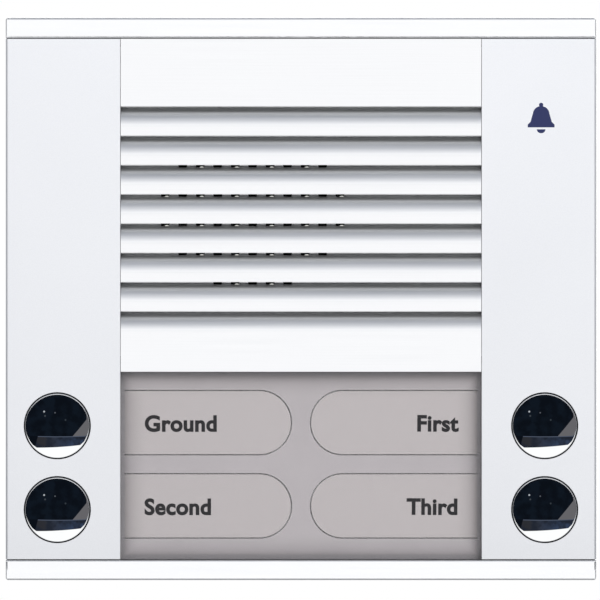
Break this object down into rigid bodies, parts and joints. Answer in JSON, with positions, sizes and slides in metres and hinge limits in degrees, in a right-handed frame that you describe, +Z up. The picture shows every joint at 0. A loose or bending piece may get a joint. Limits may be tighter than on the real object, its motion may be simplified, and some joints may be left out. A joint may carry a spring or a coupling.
{
  "type": "door intercom panel",
  "caption": "Wall-mounted door intercom panel with a louvred loudspeaker grille, backlit name labels and chrome call buttons on a swing-out front.",
  "frame": {"origin": "middle of the panel's back, in the plane of the wall", "axes": "+Z up, +X to the right seen from the front, front face towards -Y"},
  "size_m": [0.15, 0.0271, 0.1428],
  "materials": {
    "aluminium": "fine matt anodised",
    "chrome": "mirror polished",
    "tray_plastic": "fine spark-eroded grain",
    "chassis_plastic": "matt moulded",
    "clear_window": "clear, matt front",
    "mask_grey": "matt",
    "label_card": "matt card behind film",
    "light_guide": "translucent white",
    "zinc_steel": "zinc plated",
    "ferrite": "dark ceramic",
    "cone_paper": "black fibre",
    "foam": "closed-cell foam",
    "rubber": "matt",
    "board": "solder resist",
    "terminal": "satin",
    "chip": "matt moulded",
    "capacitor": "shrink sleeve",
    "led": "diffusing lens",
    "switch_black": "satin",
    "plunger": "satin",
    "trimmer_blue": "satin",
    "rotor_white": "satin",
    "screw_steel": "bright stainless",
    "spring_steel": "drawn wire",
    "capsule_metal": "satin"
  },
  "bodies": {
    "base": {"base_tray": "tray_plastic", "wall_gasket": "foam", "cable_grommet": "rubber"},
    "front": {"left_column": "aluminium", "right_column": "aluminium", "louvre_grille": "aluminium", "top_rail": "aluminium", "bottom_rail": "aluminium", "front_chassis": "chassis_plastic", "name_window": "clear_window", "label_mask": "mask_grey", "name_label_1": "label_card", "name_label_2": "label_card", "name_label_3": "label_card", "name_label_4": "label_card", "light_guide": "light_guide", "speaker_basket": "zinc_steel", "speaker_magnet": "ferrite", "speaker_cone": "cone_paper", "speaker_gasket": "foam", "microphone_boot": "rubber", "main_board": "board", "terminal_block": "terminal", "controller_chip": "chip", "smoothing_capacitor": "capacitor", "backlight_led_1": "led", "backlight_led_2": "led", "backlight_led_3": "led", "backlight_led_4": "led", "button_switch_1": "switch_black", "button_switch_2": "switch_black", "button_switch_3": "switch_black", "button_switch_4": "switch_black", "volume_trimmer": "trimmer_blue", "microphone_level_trimmer": "trimmer_blue", "rail_screw_1": "screw_steel", "rail_screw_2": "screw_steel", "rail_screw_3": "screw_steel", "rail_screw_4": "screw_steel", "lock_screw_1": "screw_steel", "lock_screw_2": "screw_steel", "board_screw_1": "screw_steel", "board_screw_2": "screw_steel", "board_screw_3": "screw_steel", "board_screw_4": "screw_steel", "return_spring_1": "spring_steel", "return_spring_2": "spring_steel", "return_spring_3": "spring_steel", "return_spring_4": "spring_steel", "microphone": "capsule_metal"},
    "call_button_1": {"call_button_1": "chrome"},
    "call_button_2": {"call_button_2": "chrome"},
    "call_button_3": {"call_button_3": "chrome"},
    "call_button_4": {"call_button_4": "chrome"},
    "switch_plunger_1": {"switch_plunger_1": "plunger"},
    "switch_plunger_2": {"switch_plunger_2": "plunger"},
    "switch_plunger_3": {"switch_plunger_3": "plunger"},
    "switch_plunger_4": {"switch_plunger_4": "plunger"},
    "volume_rotor": {"volume_rotor": "rotor_white"},
    "microphone_level_rotor": {"microphone_level_rotor": "rotor_white"}
  },
  "joints": [
    {"name": "front_swing", "type": "hinge", "parent": "base", "child": "front", "pos_m": [0, -0.0046, 0.0672], "axis": [-1, 0, 0], "range_deg": [0, 40]},
    {"name": "button_1_press", "type": "slide", "parent": "front", "child": "call_button_1", "axis": [0, 1, 0], "range_m": [0, 0.0012], "stiffness_N_per_m": 800, "springref_m": -0.001, "deforming": ["return_spring_1"]},
    {"name": "button_2_press", "type": "slide", "parent": "front", "child": "call_button_2", "axis": [0, 1, 0], "range_m": [0, 0.0012], "stiffness_N_per_m": 800, "springref_m": -0.001, "deforming": ["return_spring_2"]},
    {"name": "button_3_press", "type": "slide", "parent": "front", "child": "call_button_3", "axis": [0, 1, 0], "range_m": [0, 0.0012], "stiffness_N_per_m": 800, "springref_m": -0.001, "deforming": ["return_spring_3"]},
    {"name": "button_4_press", "type": "slide", "parent": "front", "child": "call_button_4", "axis": [0, 1, 0], "range_m": [0, 0.0012], "stiffness_N_per_m": 800, "springref_m": -0.001, "deforming": ["return_spring_4"]},
    {"name": "switch_1_travel", "type": "slide", "parent": "front", "child": "switch_plunger_1", "axis": [0, 1, 0], "range_m": [0, 0.0012]},
    {"name": "switch_2_travel", "type": "slide", "parent": "front", "child": "switch_plunger_2", "axis": [0, 1, 0], "range_m": [0, 0.0012]},
    {"name": "switch_3_travel", "type": "slide", "parent": "front", "child": "switch_plunger_3", "axis": [0, 1, 0], "range_m": [0, 0.0012]},
    {"name": "switch_4_travel", "type": "slide", "parent": "front", "child": "switch_plunger_4", "axis": [0, 1, 0], "range_m": [0, 0.0012]},
    {"name": "volume_turn", "type": "hinge", "parent": "front", "child": "volume_rotor", "pos_m": [-0.008, -0.0068, -0.052], "axis": [0, 1, 0], "range_deg": [-135, 135]},
    {"name": "microphone_level_turn", "type": "hinge", "parent": "front", "child": "microphone_level_rotor", "pos_m": [0.008, -0.0068, -0.052], "axis": [0, 1, 0], "range_deg": [-135, 135]}
  ],
  "couplings": [
    {"joint": "switch_1_travel", "follows": "button_1_press", "ratio": 1},
    {"joint": "switch_2_travel", "follows": "button_2_press", "ratio": 1},
    {"joint": "switch_3_travel", "follows": "button_3_press", "ratio": 1},
    {"joint": "switch_4_travel", "follows": "button_4_press", "ratio": 1}
  ]
}
